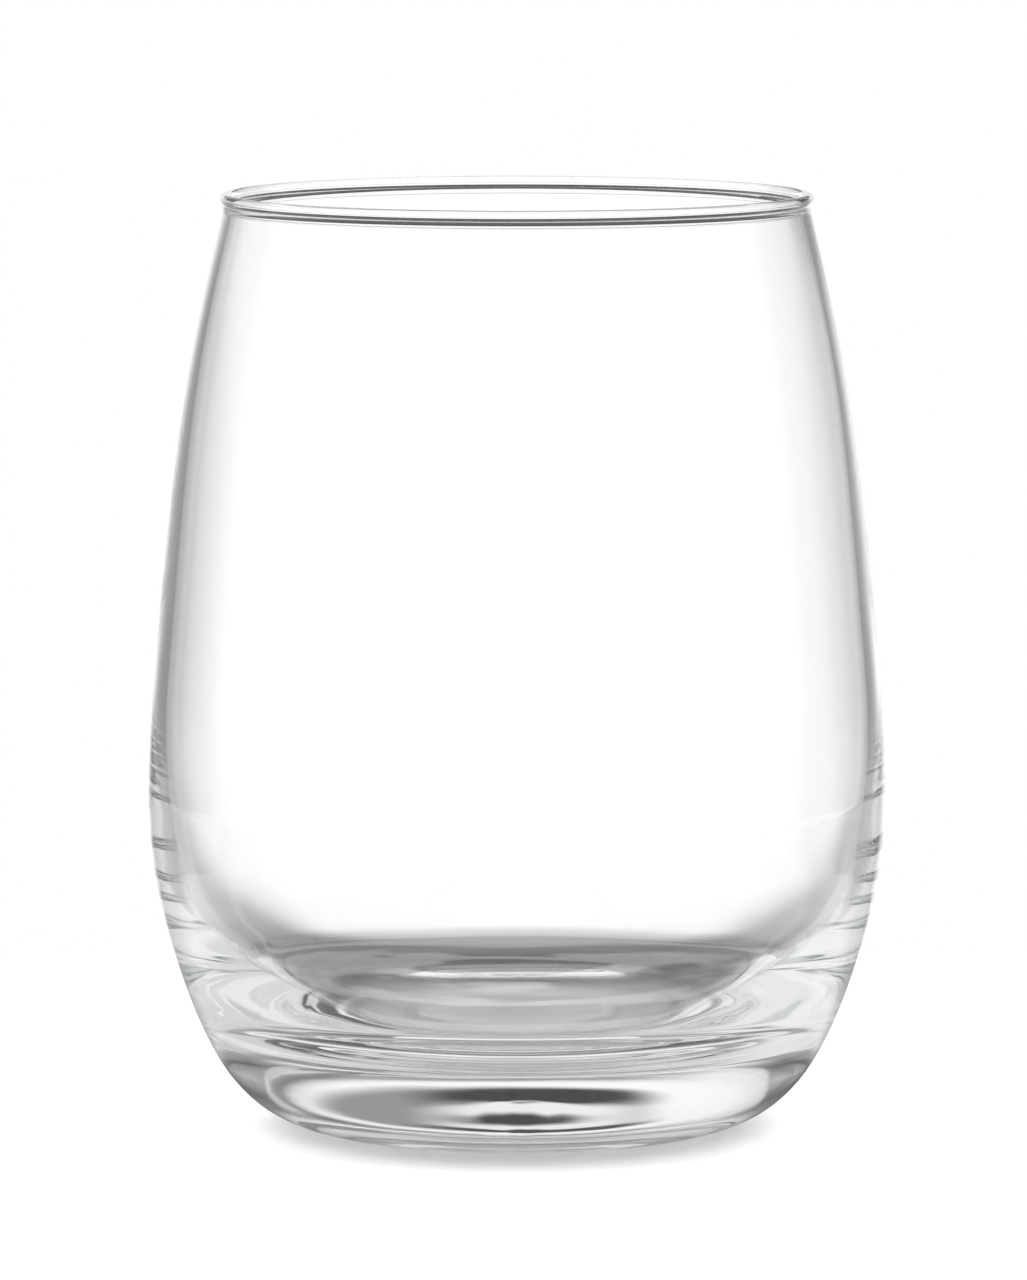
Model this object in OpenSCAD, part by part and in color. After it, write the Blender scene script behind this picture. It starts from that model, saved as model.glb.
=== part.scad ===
/* [Overall] */
// Height from the table to the top of the rim
glass_h = 110; // [80:1:150]
// Diameter of the bowl at its widest
belly_d = 86.8; // [78:0.2:110]

/* [Rim] */
// Diameter over the outside of the rim
rim_d = 69.4; // [60:0.2:76]
// Thickness of the round bead that the rim is melted into
bead_d = 1.5; // [1.2:0.1:2.4]
// How far the bead stands out from the wall below it
bead_proud = 0.3; // [0:0.05:0.6]
// Depth below the top at which the plain wall begins
neck_drop = 2.2; // [2:0.1:4]

/* [Wall] */
// Thickness of the wall just under the rim
neck_wall = 1.1; // [0.9:0.05:1.6]
// Thickness of the wall where the bowl draws in towards the rim
shoulder_wall = 1.15; // [0.9:0.05:1.8]
// Thickness of the wall above the belly
upper_wall = 1.8; // [1:0.05:2.2]
// Thickness of the wall at the belly
belly_wall = 1.6; // [1.2:0.1:3]
// Thickness of the wall where it swells into the base
lower_wall = 3.3; // [2:0.1:5]

/* [Base] */
// Outer diameter of the ring that stands on the table
foot_d = 40; // [30:0.5:50]
// Width of the flat land of that ring
foot_land = 1.5; // [1:0.25:4]
// How far the round heel runs out past the ring before it climbs
heel_run = 5.5; // [3:0.25:9]
// Height of the shallow hollow under the base, at its middle
push_up = 0.8; // [0.6:0.1:4]
// Height of the bowl's floor above the table, at its middle
floor_h = 12.2; // [9:0.2:18]
// How far the floor rises from its middle to its edge, as a shallow dish
floor_dish = 2; // [0:0.25:4]
// Diameter at which the floor begins to turn up into the corner
floor_d = 62; // [40:1:64]
// How far the point that draws the corner lies outside that circle
corner_run = 2; // [1:0.25:5]
// How far the same point lies above the floor's edge
corner_rise = 2.5; // [1:0.25:6]

/* [Hidden] */
// Points in each stretch of a curve, and in the bead's arc
curve_steps = 6;
bead_steps = 12;
$fn = 128;

foot_r = foot_d / 2;
hollow_r = foot_r - foot_land;
belly_r = belly_d / 2;
floor_r = floor_d / 2;
edge_h = floor_h + floor_dish;
corner_r = floor_r + corner_run;
bead_r = bead_d / 2;
rim_r = rim_d / 2;
neck_r = rim_r - bead_proud;
neck_z = glass_h - neck_drop;

// The outer wall is drawn by these points, from the heel up to the shoulder, as [share of the belly's
// radius, share of the height]. Each has a wall thickness of its own, but for the heel, which is solid.
wall_shares = [[0.816, 0.046], [0.989, 0.248], [1.007, 0.363], [0.98, 0.516], [0.911, 0.789]];
walls = [lower_wall, belly_wall, upper_wall, shoulder_wall];
// How far each point of the inner wall lies above the outer one, as shares of the height
lift_shares = [-0.02, 0.018, 0, 0];
// Where the hollow under the base turns down to the ring, as shares of its radius
hollow_shares = [0.3, 0.92];
// Where the bead's arc starts outside and ends inside, counted from level
bead_from = -45;
bead_to = 225;

// A point on a cubic spline between four of its control points
function spline_point(a, b, c, d, t) =
    ((1 - t) ^ 3 * a + (3 * t ^ 3 - 6 * t ^ 2 + 4) * b + (1 + 3 * t + 3 * t ^ 2 - 3 * t ^ 3) * c + t ^ 3 * d) / 6;

// A smooth curve that starts at the first control point, ends at the last and is drawn by the others
function spline(ctrl) =
    let (last = ctrl[len(ctrl) - 1], p = concat([ctrl[0]], ctrl, [last]), spans = len(p) - 3)
    concat(
        [ctrl[0]],
        [for (i = [0 : spans - 1], k = [0 : curve_steps - 1])
            spline_point(p[i], p[i + 1], p[i + 2], p[i + 3], k / curve_steps)],
        [spline_point(p[spans - 1], p[spans], p[spans + 1], p[spans + 2], 1), last]
    );

// Control points of the outer wall, from the foot ring to the neck
function outer_ctrl(bulge) = concat(
    [[foot_r, 0], [foot_r + heel_run, 0]],
    [for (s = wall_shares) [s.x * bulge, s.y * glass_h]],
    [[neck_r, neck_z]]
);

// The bulge at which the curve is just belly_d wide
bulge = belly_r * belly_r / max([for (p = spline(outer_ctrl(belly_r))) p.x]);
outer = outer_ctrl(bulge);

// Control points of the bowl's inside, from the middle of the floor to the neck
inner = concat(
    [[0, floor_h], [floor_r / 2, floor_h], [floor_r, edge_h], [corner_r, edge_h + corner_rise]],
    [for (i = [0 : len(walls) - 1]) [outer[i + 3].x - walls[i], outer[i + 3].y + lift_shares[i] * glass_h]],
    [[neck_r - neck_wall, neck_z]]
);

// Control points of the hollow under the base, from its middle to the foot ring
hollow = [[0, push_up], [hollow_shares[0] * hollow_r, push_up], [hollow_shares[1] * hollow_r, 0], [hollow_r, 0]];

// The rim's bead, from the outside over the top to the inside
bead = [for (k = [0 : bead_steps])
    let (a = bead_from + (bead_to - bead_from) * k / bead_steps)
    [rim_r - bead_r + bead_r * cos(a), glass_h - bead_r + bead_r * sin(a)]];

// The same points from the last to the first
function reversed(points) = [for (i = [len(points) - 1 : -1 : 0]) points[i]];

// The whole glass: one piece of clear glass, its outline turned about the axis
module glass_body() {
    color([0.93, 0.96, 0.95, 0.35])
    rotate_extrude()
    polygon(concat(spline(hollow), spline(outer), bead, reversed(spline(inner))));
}

glass_body();
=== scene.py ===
# %% [markdown]
# # A stemless wine glass
# This script dresses the imported part for a picture. The real object is one piece of clear glass: a gob is
# pressed and blown in a mould, cut off at the rim, and the cut edge is melted round by a flame. So there is one
# piece to make, and nearly all the work is in its outline, its wall thickness and the light round it, because
# clear glass shows only what it bends and reflects.
#
# First the imported part is loaded as a fixed frame. The glass made here has to stay inside its box.

# %% Load the imported part
import math
import bmesh
import bpy
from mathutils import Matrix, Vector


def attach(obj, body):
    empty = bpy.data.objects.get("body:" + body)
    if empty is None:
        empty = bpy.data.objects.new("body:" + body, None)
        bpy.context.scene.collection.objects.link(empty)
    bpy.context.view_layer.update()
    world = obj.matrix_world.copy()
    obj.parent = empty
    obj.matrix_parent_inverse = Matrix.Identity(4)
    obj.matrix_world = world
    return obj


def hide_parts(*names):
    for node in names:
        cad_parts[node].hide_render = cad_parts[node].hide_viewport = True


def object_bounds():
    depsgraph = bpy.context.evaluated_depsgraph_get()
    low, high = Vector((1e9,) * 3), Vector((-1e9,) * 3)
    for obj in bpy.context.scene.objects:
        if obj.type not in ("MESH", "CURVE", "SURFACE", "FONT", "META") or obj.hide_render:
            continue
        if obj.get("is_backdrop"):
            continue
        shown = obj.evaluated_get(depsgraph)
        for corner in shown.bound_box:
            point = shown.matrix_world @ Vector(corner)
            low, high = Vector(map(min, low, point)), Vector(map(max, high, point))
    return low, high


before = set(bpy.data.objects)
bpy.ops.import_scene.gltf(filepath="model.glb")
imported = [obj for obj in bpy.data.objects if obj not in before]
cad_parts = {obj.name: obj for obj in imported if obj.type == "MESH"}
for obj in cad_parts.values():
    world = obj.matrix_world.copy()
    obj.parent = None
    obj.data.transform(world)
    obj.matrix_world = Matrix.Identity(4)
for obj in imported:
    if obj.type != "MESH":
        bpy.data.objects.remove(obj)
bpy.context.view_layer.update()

# %% [markdown]
# ## Camera
# The picture was taken with a long lens from a little over a metre away, looking down by about six degrees: the
# rim is a flat ellipse and the sides hardly converge. A camera can be placed by eye, but with glass a small
# error in its height changes all that the base shows. So the distance, the height and the lens were found by
# fitting the outline and the rim's ellipse, and the small shift puts the glass a little to the right of the
# middle. Lengths are in metres, the angle is in radians, and the lens is first given in pixels of the picture.

# %% Place the camera
CAMERA_BACK = 1.1686
CAMERA_HIGH = 0.18055
CAMERA_DOWN = 0.105
CLIP_START, CLIP_END = 0.05, 100.0
FOCAL_PX = 10008.2
IMAGE_W, IMAGE_H = 1027, 1280
GLASS_X_PX = 516.9

camera_data = bpy.data.cameras.new("camera")
camera_data.lens = FOCAL_PX * camera_data.sensor_width / IMAGE_H
camera_data.shift_x = -(GLASS_X_PX - IMAGE_W / 2) / IMAGE_H
camera_data.clip_start = CLIP_START
camera_data.clip_end = CLIP_END
camera = bpy.data.objects.new("camera", camera_data)
bpy.context.scene.collection.objects.link(camera)
camera.location = (0.0, -CAMERA_BACK, CAMERA_HIGH)
camera.rotation_euler = (math.pi / 2 - CAMERA_DOWN, 0.0, 0.0)
bpy.context.scene.camera = camera
print("lens, mm:", round(camera_data.lens, 1), " looks down, degrees:", round(math.degrees(CAMERA_DOWN), 1))

# %% [markdown]
# ## The outline
# Every level of the glass is a circle, so half of its section says all. The section has four curves: the hollow
# under the base, the outside, the bead of the rim and the inside. It could be traced point by point, but each
# small error would then be a kink, and a kink shows as a hard line in what the glass bends. A cubic spline drawn
# by a few control points gives the slow, even curvature that blown glass has. The sizes are those of the part,
# but the height and the belly are a few hundredths of a millimetre smaller, so that this glass stays inside the
# part's box.

# %% Sizes of the glass, in millimetres
MM = 0.001
GLASS_H = 109.95
BELLY_R = 43.25
RIM_R = 34.7
BEAD_R = 0.75
NECK_IN = 0.3
NECK_DROP = 2.2
NECK_WALL = 1.1
FOOT_R = 20.0
FOOT_LAND = 1.5
HEEL_RUN = 5.5
PUSH_UP = 0.8
FLOOR_H = 12.2
FLOOR_DISH = 2.0
FLOOR_R = 31.0
CORNER_RUN = 2.0
CORNER_RISE = 2.5
print("height", GLASS_H, " belly", 2 * BELLY_R, " rim", 2 * RIM_R, " foot", 2 * FOOT_R)

# %% The control points of the outside and the hollow, as shares
# Those of the outside are shares of the belly's radius and of the height. The curve stays a little inside its
# points, and the bulge makes up for that. Each point above the heel has a wall thickness, in millimetres, and
# the inside's own point is lifted by a share of the height. Those of the hollow are shares of its radius.
OUTSIDE = ((0.816, 0.046), (0.989, 0.248), (1.007, 0.363), (0.98, 0.516), (0.911, 0.789))
BULGE = 1.00118
WALLS = (3.3, 1.6, 1.8, 1.15)
LIFTS = (-0.02, 0.018, 0.0, 0.0)
HOLLOW_FLAT, HOLLOW_TURN = 0.3, 0.92


# %% A smooth curve
def spline(ctrl, steps):
    """A smooth curve that starts at the first control point, ends at the last and is drawn by the others."""
    ends = [ctrl[0], ctrl[0], *ctrl, ctrl[-1], ctrl[-1]]
    points = []
    for a, b, c, d in zip(ends, ends[1:], ends[2:], ends[3:]):
        for k in range(steps):
            t = k / steps
            weights = ((1 - t) ** 3, 3 * t**3 - 6 * t**2 + 4, 1 + 3 * t + 3 * t**2 - 3 * t**3, t**3)
            points.append(tuple(sum(w * p[i] for w, p in zip(weights, (a, b, c, d))) / 6 for i in (0, 1)))
    return [*points, tuple(ctrl[-1])]


# %% The control points of the outside, the inside and the hollow
neck = (RIM_R - NECK_IN, GLASS_H - NECK_DROP)
outside = [(FOOT_R, 0.0), (FOOT_R + HEEL_RUN, 0.0)]
outside += [(share_r * BELLY_R * BULGE, share_z * GLASS_H) for share_r, share_z in OUTSIDE]
outside += [neck]

edge_h = FLOOR_H + FLOOR_DISH
inside = [(0.0, FLOOR_H), (FLOOR_R / 2, FLOOR_H), (FLOOR_R, edge_h)]
inside += [(FLOOR_R + CORNER_RUN, edge_h + CORNER_RISE)]
inside += [(p[0] - wall, p[1] + lift * GLASS_H) for p, wall, lift in zip(outside[3:], WALLS, LIFTS)]
inside += [(neck[0] - NECK_WALL, neck[1])]

hollow_r = FOOT_R - FOOT_LAND
hollow = [(0.0, PUSH_UP), (HOLLOW_FLAT * hollow_r, PUSH_UP), (HOLLOW_TURN * hollow_r, 0.0), (hollow_r, 0.0)]
print("control points: outside", len(outside), " inside", len(inside), " hollow", len(hollow))

# %% The bead, from the outside over the top to the inside, in degrees from level
BEAD_FROM, BEAD_TO, BEAD_STEPS = -45, 225, 36

bead = []
for k in range(BEAD_STEPS + 1):
    level_angle = math.radians(BEAD_FROM + (BEAD_TO - BEAD_FROM) * k / BEAD_STEPS)
    bead.append((RIM_R - BEAD_R + BEAD_R * math.cos(level_angle),
                 GLASS_H - BEAD_R + BEAD_R * math.sin(level_angle)))
print("bead, mm thick:", 2 * BEAD_R, " points:", len(bead))

# %% One section of the four curves, without points that fall together
# The last point is put back on the axis, so that the middle of the floor closes.
CURVE_STEPS = 11
LEAST_GAP = 0.01

section = []
for curve in (spline(hollow, CURVE_STEPS), spline(outside, CURVE_STEPS), bead,
              spline(inside, CURVE_STEPS)[::-1]):
    for point in curve:
        if not section or math.dist(point, section[-1]) > LEAST_GAP:
            section.append(point)
section[-1] = inside[0]
rim_at = max(range(len(section)), key=lambda i: section[i][1])
litres = sum(math.pi / 3 * (a[0] ** 2 + a[0] * b[0] + b[0] ** 2) * (a[1] - b[1])
             for a, b in zip(section[rim_at:], section[rim_at + 1:])) * 1e-6
print("points in the section:", len(section), " holds to the brim, litres:", round(litres, 3))

# %% [markdown]
# ## Turning the section into glass
# A mould and a spinning pipe make the real one round. A Screw modifier would turn the section too, but Geometry
# Nodes can also give the glass its unevenness, with inputs that have names. A grid has one row for each point of
# the section and one column for each step round the axis, each vertex reads its radius and height from the
# section by its row, and the seam and the two poles are then merged. Blown glass isn't perfect, so the inside,
# which no mould touched, gets a ripple less than a tenth of a millimetre deep: that is what breaks up the
# reflections in the thick base. The ripple has a fixed seed, so it comes out the same each time.


# %% One helper that adds a node
def add_node(tree, kind, inputs=(), **settings):
    """Adds a node with its settings and links. A kind in capitals is an operation of the Math node. The inputs
    are in order or by name, and each is a value, a node, which stands for its first output, or an output."""
    if kind.isupper():
        kind, settings["operation"] = "ShaderNodeMath", kind
    node = tree.nodes.new(kind)
    for name, value in settings.items():
        setattr(node, name, value)
    for name, value in inputs.items() if isinstance(inputs, dict) else enumerate(inputs):
        if isinstance(value, bpy.types.Node):
            value = value.outputs[0]
        if isinstance(value, bpy.types.NodeSocket):
            tree.links.new(value, node.inputs[name])
        else:
            node.inputs[name].default_value = value
    return node


# %% The node tree that turns the section, and its inputs
turn = bpy.data.node_groups.new("turn_section", "GeometryNodeTree")
for name, kind in (("Section", "Geometry"), ("Sides", "Int"), ("Ripple depth", "Float"),
                   ("Ripple size", "Float"), ("Ripple turns", "Float"), ("Seed", "Int"), ("Glass", "Material")):
    turn.interface.new_socket(name, in_out="INPUT", socket_type="NodeSocket" + kind)
turn.interface.new_socket("Body", in_out="OUTPUT", socket_type="NodeSocketGeometry")
given = add_node(turn, "NodeGroupInput").outputs
print("inputs of the tree:", [socket.name for socket in given if socket.name])

# %% A grid, and the row and column of each of its vertices
# The half keeps a whole number of rows from falling just short.
rows = add_node(turn, "GeometryNodeAttributeDomainSize", [given["Section"]], component="MESH")
columns = add_node(turn, "ADD", [given["Sides"], 1])
grid = add_node(turn, "GeometryNodeMeshGrid", {"Vertices X": rows, "Vertices Y": columns})
index = add_node(turn, "GeometryNodeInputIndex")
row = add_node(turn, "FLOOR", [add_node(turn, "DIVIDE", [add_node(turn, "ADD", [index, 0.5]), columns])])
column = add_node(turn, "SUBTRACT", [index, add_node(turn, "MULTIPLY", [row, columns])])
angle = add_node(turn, "DIVIDE", [add_node(turn, "MULTIPLY", [column, 2 * math.pi]), given["Sides"]])

# %% The grid bent round the axis
at = add_node(turn, "GeometryNodeInputPosition")
on_section = add_node(turn, "GeometryNodeSampleIndex", {
    "Geometry": given["Section"], "Value": at, "Index": row}, data_type="FLOAT_VECTOR")
from_axis, _, above_table = add_node(turn, "ShaderNodeSeparateXYZ", [on_section]).outputs
round_place = add_node(turn, "ShaderNodeCombineXYZ", [
    add_node(turn, "MULTIPLY", [from_axis, add_node(turn, "COSINE", [angle])]),
    add_node(turn, "MULTIPLY", [from_axis, add_node(turn, "SINE", [angle])]),
    above_table])
round_body = add_node(turn, "GeometryNodeSetPosition", {"Geometry": grid, "Position": round_place})

# %% Each vertex keeps its row's share of the ripple, then the seam and the poles are merged
MERGE_WITHIN = 0.001 * MM

ripple_share = add_node(turn, "GeometryNodeInputNamedAttribute", {"Name": "ripple_share"})
share_by_row = add_node(turn, "GeometryNodeSampleIndex", {
    "Geometry": given["Section"], "Value": ripple_share, "Index": row})
marked = add_node(turn, "GeometryNodeStoreNamedAttribute", {
    "Geometry": round_body, "Name": "ripple_share", "Value": share_by_row})
merged = add_node(turn, "GeometryNodeMergeByDistance", {"Geometry": marked, "Distance": MERGE_WITHIN})

# %% The ripple, which runs round the glass in long streaks
RIPPLE_DETAIL = 2.0

x, y, z = add_node(turn, "ShaderNodeSeparateXYZ", [at]).outputs
radius = add_node(turn, "SQRT", [add_node(turn, "ADD", [
    add_node(turn, "MULTIPLY", [x, x]), add_node(turn, "MULTIPLY", [y, y])])])
wound = add_node(turn, "DIVIDE", [
    given["Ripple turns"], add_node(turn, "ADD", [radius, given["Ripple size"]])])
round_and_across = add_node(turn, "ShaderNodeCombineXYZ", [
    add_node(turn, "MULTIPLY", [x, wound]), add_node(turn, "MULTIPLY", [y, wound]),
    add_node(turn, "DIVIDE", [radius, given["Ripple size"]])])
seeded_height = add_node(turn, "ADD", [
    given["Seed"], add_node(turn, "DIVIDE", [z, given["Ripple size"]])])
waves = add_node(turn, "ShaderNodeTexNoise", {
    "Vector": round_and_across, "W": seeded_height, "Scale": 1.0, "Detail": RIPPLE_DETAIL},
    noise_dimensions="4D")
depth = add_node(turn, "MULTIPLY", [
    add_node(turn, "SUBTRACT", [waves, 0.5]),
    add_node(turn, "MULTIPLY", [ripple_share, given["Ripple depth"]])])

# %% Push the surface in and out, smooth it and give it its material
outwards = add_node(turn, "GeometryNodeInputNormal")
push = add_node(turn, "ShaderNodeVectorMath", {0: outwards, "Scale": depth}, operation="SCALE")
rippled = add_node(turn, "GeometryNodeSetPosition", {"Geometry": merged, "Offset": push})
smooth = add_node(turn, "GeometryNodeSetShadeSmooth", {"Geometry": rippled})
plain = add_node(turn, "GeometryNodeRealizeInstances", {"Geometry": smooth})
finished = add_node(turn, "GeometryNodeSetMaterial", {"Geometry": plain, "Material": given["Glass"]})
add_node(turn, "NodeGroupOutput", [finished])
print("nodes that turn the section:", len(turn.nodes))

# %% [markdown]
# ## Clear soda-lime glass
# Drinking glasses are soda-lime glass with an index of refraction of about 1.52. Pressed and blown, then
# fire-polished, the surface is perfectly smooth to the touch, so the roughness is nil, but it keeps a very faint
# waver, millimetres long, that makes reflections swim. In thick places the glass is a trace grey-green, which
# is an absorption in its volume and not a colour of its surface. A Glass shader could be used as well, but the
# Principled one also carries its transmission and its index of refraction into an exported model.


# %% Colours are written as sRGB and turned to linear
def linear(colour):
    """An sRGB hex colour as linear red, green, blue and alpha."""
    channels = [int(colour[i:i + 2], 16) / 255 for i in (0, 2, 4)]
    return (*[c / 12.92 if c <= 0.04045 else ((c + 0.055) / 1.055) ** 2.4 for c in channels], 1.0)


WHITE = linear("FFFFFF")

# %% The glass
GLASS_IOR = 1.52
WAVER_LENGTH_MM = 14.0
WAVER_HEIGHT_MM = 0.004
WAVER_DETAIL = 1.0
TINT = linear("D5DAD8")
TINT_DENSITY = 3.0

glass = bpy.data.materials.new("soda_lime_glass_fire_polished")
glass.use_nodes = True
tree = glass.node_tree
tree.nodes.clear()
where = add_node(tree, "ShaderNodeTexCoord").outputs["Object"]
waver = add_node(tree, "ShaderNodeTexNoise", {
    "Vector": where, "Scale": 1 / (WAVER_LENGTH_MM * MM), "Detail": WAVER_DETAIL})
bump = add_node(tree, "ShaderNodeBump", {"Height": waver, "Strength": 1.0, "Distance": WAVER_HEIGHT_MM * MM})
clear = add_node(tree, "ShaderNodeBsdfPrincipled", {
    "Base Color": WHITE, "Roughness": 0.0, "IOR": GLASS_IOR, "Transmission Weight": 1.0, "Normal": bump})
tint = add_node(tree, "ShaderNodeVolumeAbsorption", {"Color": TINT, "Density": TINT_DENSITY})
add_node(tree, "ShaderNodeOutputMaterial", {"Surface": clear, "Volume": tint})
print("material:", glass.name, " nodes:", len(tree.nodes))

# %% [markdown]
# ## The body
# The section becomes a line of points, the modifier turns it, and the result is kept as a plain mesh, because
# that is what an export can hold. The ripple is given to the inside only, point by point along the section,
# which is simpler than a mask over the finished mesh. It is full on the wall above the base and weaker on the
# floor, which the plunger pressed, and it fades out towards the rim, where the flame has melted the glass
# smooth.
#
# Two calls then tie the body to the imported part: it rides on the body named root, and it stands for the node
# glass_body, which is hidden.

# %% The section as a line, with each point's share of the ripple
RIPPLE_FROM_MM, RIPPLE_FULL_MM, RIPPLE_TOP_MM = 17.0, 26.0, 60.0
FLOOR_RIPPLE = 0.35

line = bpy.data.meshes.new("section")
edges = [(i, i + 1) for i in range(len(section) - 1)]
line.from_pydata([(r * MM, 0.0, z * MM) for r, z in section], edges, [])
shares = line.attributes.new("ripple_share", "FLOAT", "POINT")
for i, (r, z) in enumerate(section):
    on_wall = min(1.0, max(0.0, (z - RIPPLE_FROM_MM) / (RIPPLE_FULL_MM - RIPPLE_FROM_MM)))
    in_base = FLOOR_RIPPLE + (1 - FLOOR_RIPPLE) * on_wall
    shares.data[i].value = in_base * max(0.0, 1 - z / RIPPLE_TOP_MM) if i > rim_at else 0.0
print("points with a ripple:", sum(1 for share in shares.data if share.value > 0))

# %% Turn it
SIDES = 288
RIPPLE_DEPTH_MM, RIPPLE_SIZE_MM, RIPPLE_TURNS, RIPPLE_SEED = 0.24, 6.0, 1.5, 7

section_line = bpy.data.objects.new("section", line)
bpy.context.scene.collection.objects.link(section_line)
modifier = section_line.modifiers.new("turn", "NODES")
modifier.node_group = turn
sockets = {item.name: item.identifier for item in turn.interface.items_tree if item.in_out == "INPUT"}
for name, value in (("Sides", SIDES), ("Ripple depth", RIPPLE_DEPTH_MM * MM),
                    ("Ripple size", RIPPLE_SIZE_MM * MM), ("Ripple turns", RIPPLE_TURNS),
                    ("Seed", RIPPLE_SEED), ("Glass", glass)):
    modifier[sockets[name]] = value

# %% Keep the result as a plain mesh, with its faces outwards
bpy.context.view_layer.update()
evaluated = section_line.evaluated_get(bpy.context.evaluated_depsgraph_get())
body_mesh = bpy.data.meshes.new_from_object(evaluated)
body_mesh.name = "clear_glass_body"
bpy.data.objects.remove(section_line)

work = bmesh.new()
work.from_mesh(body_mesh)
if work.calc_volume(signed=True) < 0:
    bmesh.ops.reverse_faces(work, faces=work.faces)
    work.to_mesh(body_mesh)
open_edges = sum(1 for e in work.edges if len(e.link_faces) != 2)
print("faces", len(work.faces), " open edges", open_edges, " glass, cm3:", round(work.calc_volume() * 1e6, 1))
work.free()

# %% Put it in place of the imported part's own body
body = bpy.data.objects.new("clear_glass_body", body_mesh)
bpy.context.scene.collection.objects.link(body)
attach(body, "root")
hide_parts("glass_body")

# %% [markdown]
# ## The table
# The glass stands on a small plain white table, overexposed to pure white as in the photograph. Its soft shadow,
# as the camera sees it, could be painted, but a real surface gives it the right shape from every side. Seen
# through the thick base, the ring just outside the foot is the darkest part of the picture: the base throws the
# light that falls on it aside. A path tracer brings much of that light back, so a shadow ring is painted on the
# table for the glass alone, with painted shade darker still where it is seen through the sides of the base, and
# inside the ring, under the foot, the table is painted brighter, as light that the base gathers there. The
# camera's own view of the table keeps the true shadow.

# %% A white disc, a hair below the foot so that the two don't share a plane
TABLE_REACH = 0.16
TABLE_LOW = -0.00002
TABLE_SIDES = 128

bpy.ops.mesh.primitive_circle_add(
    vertices=TABLE_SIDES, radius=TABLE_REACH, fill_type="NGON", location=(0.0, 0.0, TABLE_LOW))
table = bpy.context.object
table.name = "table"
paint = bpy.data.materials.new("matt_white_table_painted_ring")
paint.use_nodes = True
tree = paint.node_tree
tree.nodes.clear()
print("table, mm across:", round(2 * TABLE_REACH / MM))

# %% The painted ring: painted shade and light on the table at each distance from a point a little in front of the axis
# A new ramp comes with two stops.
RING_BACK = -0.008
# Below 1 a share is painted shade, the shadow ring; above 1 it is painted light, under the foot.
PAINTED_RING_STOPS_MM = ((0, 1.75), (12, 1.75), (25, 0.45), (37, 0.26), (50, 0.34), (57, 0.7), (74, 1.0))
RING_REACH_MM = PAINTED_RING_STOPS_MM[-1][0]

where = add_node(tree, "ShaderNodeTexCoord").outputs["Object"]
distance = add_node(tree, "ShaderNodeVectorMath", {0: where, 1: (0.0, RING_BACK, 0.0)}, operation="DISTANCE")
from_ring = distance.outputs["Value"]
painted_ring = add_node(tree, "ShaderNodeValToRGB", [add_node(tree, "DIVIDE", [from_ring, RING_REACH_MM * MM])])
stops = painted_ring.color_ramp.elements
for i, (distance_mm, grey) in enumerate(PAINTED_RING_STOPS_MM):
    stop = stops[i] if i < 2 else stops.new(distance_mm / RING_REACH_MM)
    stop.position = distance_mm / RING_REACH_MM
    stop.color = (grey, grey, grey, 1.0)
print("darkest, mm from the ring's middle:", min(PAINTED_RING_STOPS_MM, key=lambda stop: stop[1])[0])

# %% Painted shade at the sides: the table darker outside the foot, between two angles from straight behind, in degrees
SIDE_FROM, SIDE_FULL, SIDE_FADES, SIDE_GONE = 22, 34, 50, 70
OUTSIDE_FROM_MM, OUTSIDE_FULL_MM = 40, 52
SIDE_SHADE = 0.4

x, y, _ = add_node(tree, "ShaderNodeSeparateXYZ", [where]).outputs
turned_by = add_node(tree, "ARCTAN2", [add_node(tree, "ABSOLUTE", [x]), y])
from_behind = add_node(tree, "MULTIPLY", [math.degrees(1), turned_by])
side_shade = 1 - SIDE_SHADE
for value, none_at, full_at in ((from_behind, SIDE_FROM, SIDE_FULL), (from_behind, SIDE_GONE, SIDE_FADES),
                                (from_ring, OUTSIDE_FROM_MM * MM, OUTSIDE_FULL_MM * MM)):
    share = add_node(tree, "ShaderNodeMapRange", {
        "Value": value, "From Min": none_at, "From Max": full_at}, interpolation_type="SMOOTHSTEP")
    side_shade = add_node(tree, "MULTIPLY", [share, side_shade])

# %% The camera sees the table plain, every other ray sees it with the painted ring and the painted side shade
TABLE_SEEN = 0.95
TABLE_IN_GLASS = 0.54

painted_in_glass = add_node(tree, "MULTIPLY", [
    add_node(tree, "MULTIPLY", [painted_ring, TABLE_IN_GLASS]), add_node(tree, "SUBTRACT", [1.0, side_shade])])
by_camera = add_node(tree, "ShaderNodeLightPath").outputs["Is Camera Ray"]
shade = add_node(tree, "ShaderNodeMix", {0: by_camera, 2: painted_in_glass, 3: TABLE_SEEN}, data_type="FLOAT")
matt = add_node(tree, "ShaderNodeBsdfDiffuse", {"Color": shade})
add_node(tree, "ShaderNodeOutputMaterial", {"Surface": matt})
table.data.materials.append(paint)
table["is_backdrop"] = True
print("material:", paint.name, " nodes:", len(tree.nodes))

# %% [markdown]
# ## The studio
# Clear glass shows what is round it. The camera sees plain white everywhere, and the glass sees a small studio:
# pale walls, a grey ceiling behind, a white sweep behind the table with a dark gap above it and a lamp in the
# gap, and grey cards to both sides, which draw the edges of the bowl. The gap, its two shadows and the lamp
# give the dark oval with the bright core at the foot of the glass.
#
# Real walls, cards and lamps would do, but each would also light the table, and moving one would change all the
# rest. Here each is a soft patch of brightness on the world, placed by its direction from the glass: azimuth 0
# is straight behind, 90 to the right, in degrees. A later patch lies over an earlier one.

# %% Where a ray goes
world = bpy.data.worlds.new("studio")
bpy.context.scene.world = world
world.use_nodes = True
world.cycles.sampling_method = "NONE"
tree = world.node_tree
tree.nodes.clear()
direction = add_node(tree, "ShaderNodeTexCoord").outputs["Generated"]
x, y, z = add_node(tree, "ShaderNodeSeparateXYZ", [direction]).outputs
azimuth = add_node(tree, "MULTIPLY", [add_node(tree, "ARCTAN2", [x, y]), math.degrees(1)])
height = add_node(tree, "MULTIPLY", [add_node(tree, "ARCSINE", [z]), math.degrees(1)])

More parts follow.
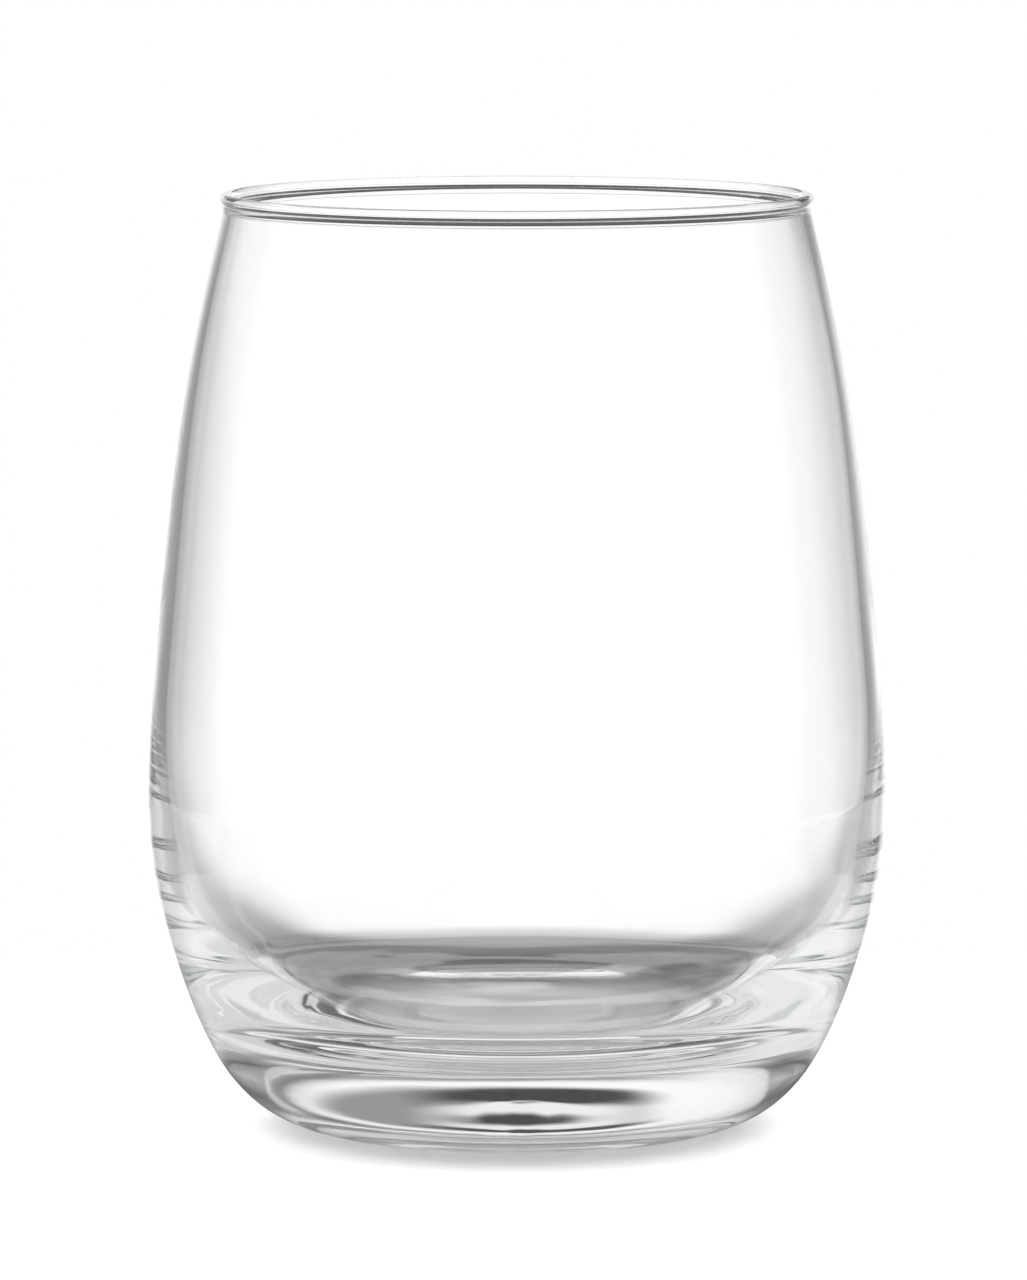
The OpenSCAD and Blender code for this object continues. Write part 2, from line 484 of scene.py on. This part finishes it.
# %% What the glass sees: azimuth, height, half width, half height, softness of the edge, level
WALLS_LEVEL = 0.72
PATCHES = {
    "wall behind the camera, left": (-180, 0, 60, 75, 0.2, 1.0),
    "wall behind the camera, right": (180, 0, 60, 75, 0.2, 1.0),
    "wall to the left": (-95, 12, 60, 34, 0.3, 1.0),
    "ceiling behind": (0, 50, 60, 44, 0.35, 0.34),
    "card high on the right": (46, 31, 20, 20, 0.25, 0.1),
    "window to the left": (-50, 16, 28, 12, 0.35, 0.95),
    "sweep": (0, -13, 62, 28, 0.1, 1.08),
    "card to the right": (40, -8, 22, 17, 0.25, 0.32),
    "card to the left": (-40, -10, 27, 16, 0.25, 0.30),
    "gap above the sweep": (9, 4.6, 27, 6.2, 0.2, 0.3),
    "gap's upper shadow": (-3, 9.3, 15, 1.2, 0.35, 0.03),
    "gap's lower shadow": (-2, 5.5, 17, 1.4, 0.35, 0.03),
    "lamp in the gap": (-3, 7.4, 13, 0.75, 0.45, 0.95),
}

# %% Lay the patches over the walls, each a rectangle with round corners
ROUND_CORNERS = 3.0


def add_patch(seen, to_the_right, up, half_width, half_height, soft, level):
    """The brightness seen, with one soft patch laid over it."""
    powers = []
    for bearing, middle, half in ((azimuth, to_the_right, half_width), (height, up, half_height)):
        away = add_node(tree, "DIVIDE", [add_node(tree, "SUBTRACT", [bearing, middle]), half])
        powers.append(add_node(tree, "POWER", [add_node(tree, "ABSOLUTE", [away]), ROUND_CORNERS]))
    reach = add_node(tree, "POWER", [add_node(tree, "ADD", powers), 1 / ROUND_CORNERS])
    cover = add_node(tree, "ShaderNodeMapRange", {
        "Value": reach, "From Min": 1 + soft, "From Max": 1 - soft}, interpolation_type="SMOOTHSTEP")
    return add_node(tree, "ShaderNodeMix", {0: cover, 2: seen, 3: level}, data_type="FLOAT")


seen = WALLS_LEVEL
for patch in PATCHES.values():
    seen = add_patch(seen, *patch)
print("patches:", len(PATCHES), " nodes:", len(tree.nodes))

# %% [markdown]
# ## Light on the table
# The soft dark edge under the glass comes from light that falls from above, from a little behind and from both
# sides, as from a long soft box. Two area lamps would give it, but the glass would show them as well. So it is
# a broad lobe of brightness on the world, mirrored left and right, over a fainter even light, and only the
# table receives it: the light that the glass shows stays that of the patches, and the camera sees plain white.
# The lobe's peak follows from its power, so that a narrower lobe gives the table as much light as a broad one.

# %% A lobe of light from both sides
LIGHT_ASIDE = math.radians(35)
LIGHT_BACK = math.radians(5)
LIGHT_POWER = 8.0
LIGHT_ROUND = 0.3
LIGHT_GAIN = 2.0
LIGHT_PEAK = LIGHT_GAIN * (1 - LIGHT_ROUND) * (LIGHT_POWER + 2) / 4 / math.cos(LIGHT_ASIDE)

upwards = math.cos(LIGHT_ASIDE)
to_light = (math.sin(LIGHT_ASIDE), upwards * math.sin(LIGHT_BACK), upwards * math.cos(LIGHT_BACK))
folded = add_node(tree, "ShaderNodeCombineXYZ", [add_node(tree, "ABSOLUTE", [x]), y, z])
facing = add_node(tree, "ShaderNodeVectorMath", [folded, to_light], operation="DOT_PRODUCT").outputs["Value"]
lobe = add_node(tree, "POWER", [add_node(tree, "MAXIMUM", [facing, 0.0]), LIGHT_POWER])
light = add_node(tree, "ADD", [add_node(tree, "MULTIPLY", [lobe, LIGHT_PEAK]), LIGHT_GAIN * LIGHT_ROUND])
print("peak of the lobe:", round(LIGHT_PEAK, 2))

# %% Which ray sees what
CAMERA_SEES = 1.0

rays = add_node(tree, "ShaderNodeLightPath").outputs
on_table = add_node(tree, "GREATER_THAN", [rays["Diffuse Depth"], 0.5])
not_camera = add_node(tree, "ShaderNodeMix", {0: on_table, 2: seen, 3: light}, data_type="FLOAT")
brightness = add_node(tree, "ShaderNodeMix", {
    0: rays["Is Camera Ray"], 2: not_camera, 3: CAMERA_SEES}, data_type="FLOAT")
sky = add_node(tree, "ShaderNodeBackground", {"Color": WHITE, "Strength": brightness})
add_node(tree, "ShaderNodeOutputWorld", [sky])

# %% [markdown]
# ## Cards behind the rim
# The melted bead of the rim acts as a thin glass rod: across its millimetre and a half it shows everything from
# the table to the ceiling. In the photograph it is white with thin dark lines. A patch of the world can't give
# that, because the base would show it too. So a white card hangs behind the rim and hides the gap from it, and
# a dark one, nearer and a little higher, draws the lines. Both are at the rim's own level, where the thick
# base, ten centimetres lower, doesn't see them, and the camera never does.

# %% The two cards: distance behind the axis, lower and upper edge, level
CARDS = {"white_card": (0.25, 0.108, 0.175, 1.0), "dark_card": (0.1, 0.124, 0.175, 0.05)}
CARD_HALF_WIDTH = 0.1

for name, (back, low, high, level) in CARDS.items():
    corners = [(-CARD_HALF_WIDTH, back, low), (CARD_HALF_WIDTH, back, low),
               (CARD_HALF_WIDTH, back, high), (-CARD_HALF_WIDTH, back, high)]
    card_mesh = bpy.data.meshes.new(name)
    card_mesh.from_pydata(corners, [], [(0, 1, 2, 3)])
    paper = bpy.data.materials.new("paper_of_" + name)
    paper.use_nodes = True
    tree = paper.node_tree
    tree.nodes.clear()
    glow = add_node(tree, "ShaderNodeEmission", {"Color": WHITE, "Strength": level})
    add_node(tree, "ShaderNodeOutputMaterial", {"Surface": glow})
    card_mesh.materials.append(paper)
    card = bpy.data.objects.new(name, card_mesh)
    bpy.context.scene.collection.objects.link(card)
    card.visible_camera = False
    card.visible_diffuse = False
    card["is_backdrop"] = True
    print(name, " mm behind the axis:", round(back / MM), " lower edge, mm high:", round(low / MM))

# %% [markdown]
# ## Light in the thick base
# In the thick base light is thrown back from the inside of the surface many times before it finds a way out. A
# path could be cut off after a few bounces, which is quicker, but that leaves the corners of the base black. So
# the glass gets many more bounces than usual.

# %% Bounces
BOUNCES = 256
for kind in ("max_bounces", "glossy_bounces", "transmission_bounces"):
    setattr(bpy.context.scene.cycles, kind, BOUNCES)
print("bounces:", BOUNCES)

# %% [markdown]
# ## Finish
# The picture is kept in plain sRGB, because a filmic view would turn the white round the glass grey. The box of
# this model is printed.

# %% Print the box and finish
bpy.context.scene.view_settings.view_transform = "Standard"
low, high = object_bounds()
print("visual box, mm:", [round(v * 1000, 2) for v in (*low, *high)])
